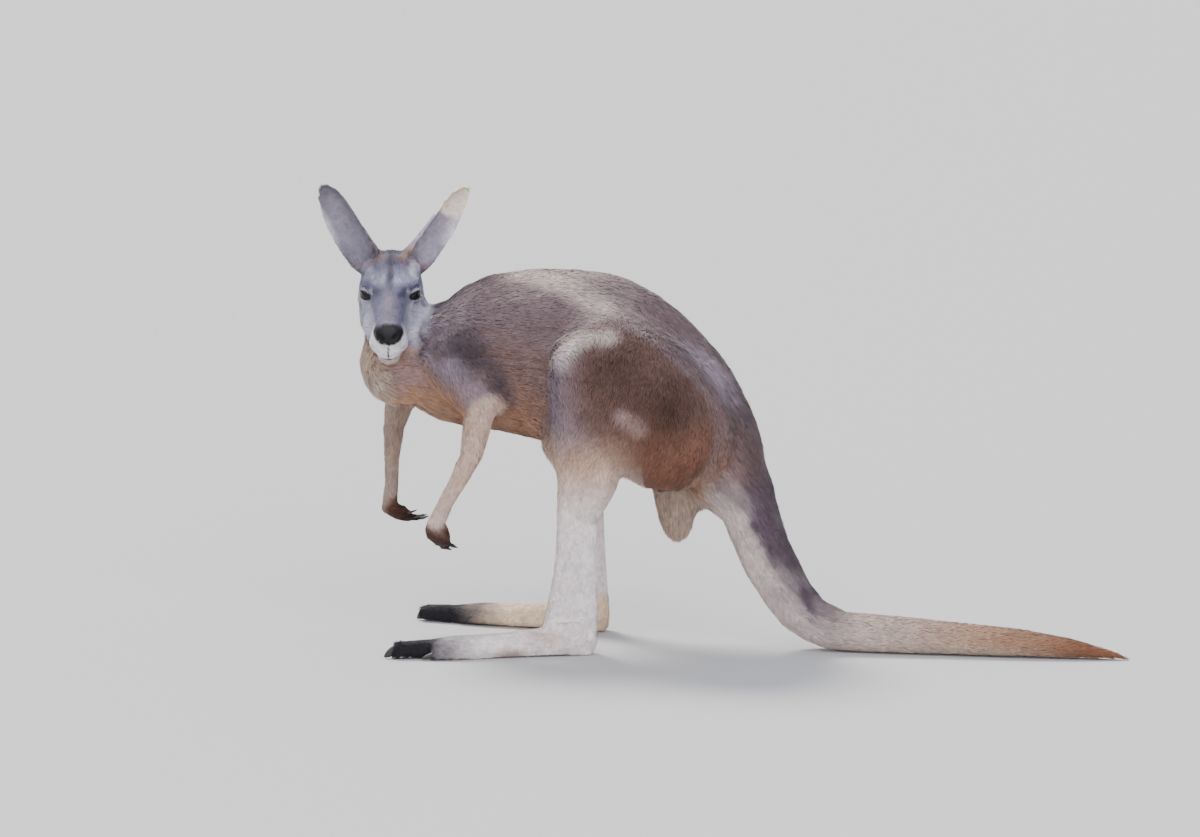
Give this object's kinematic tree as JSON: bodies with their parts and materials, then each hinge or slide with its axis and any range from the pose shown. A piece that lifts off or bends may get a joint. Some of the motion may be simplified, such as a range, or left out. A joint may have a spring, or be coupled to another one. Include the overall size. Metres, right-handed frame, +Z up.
{
  "type": "red kangaroo",
  "caption": "Life-size kangaroo at rest on flat hind feet and tail, trunk level, arms hanging, head turned to its left.",
  "frame": {"origin": "middle of the bounding box at floor level, under the belly", "axes": "+Z up; -X the way the body faces, along its length; -Y the animal's own left side, which the head looks towards"},
  "size_m": [1.272, 0.3606, 0.7153],
  "materials": {
    "body_fur": "short dense grey-brown fur, matt",
    "pale_fur": "short cream fur, matt",
    "tail_fur": "short tan and cream fur, matt",
    "head_fur": "short grey fur with pale and dark markings, matt",
    "paw_fur": "short dark brown fur, matt",
    "nose_skin": "dark pebbled skin, a little moist",
    "claw": "dark horn, satin",
    "eye": "dark, wet and glossy"
  },
  "bodies": {
    "root": {"claw_comb_toe_left": "claw", "claw_comb_toe_right": "claw", "claw_fifth_toe_left": "claw", "claw_fifth_toe_right": "claw", "claw_finger_1_left": "claw", "claw_finger_1_right": "claw", "claw_finger_2_left": "claw", "claw_finger_2_right": "claw", "claw_finger_3_left": "claw", "claw_finger_3_right": "claw", "claw_finger_4_left": "claw", "claw_finger_4_right": "claw", "claw_finger_5_left": "claw", "claw_finger_5_right": "claw", "claw_fourth_toe_left": "claw", "claw_fourth_toe_right": "claw", "ear_left": "head_fur", "ear_right": "head_fur", "eye_left": "eye", "eye_right": "eye", "foot_left": "pale_fur", "foot_right": "pale_fur", "forearm_left": "pale_fur", "forearm_right": "pale_fur", "hand_left": "paw_fur", "hand_right": "paw_fur", "head": "head_fur", "neck": "head_fur", "nose": "nose_skin", "scrotum": "pale_fur", "shank_left": "pale_fur", "shank_right": "pale_fur", "tail_base": "body_fur", "tail_end": "tail_fur", "tail_middle": "tail_fur", "thigh_left": "body_fur", "thigh_right": "body_fur", "trunk": "body_fur", "upper_arm_left": "body_fur", "upper_arm_right": "body_fur"}
  },
  "joints": []
}
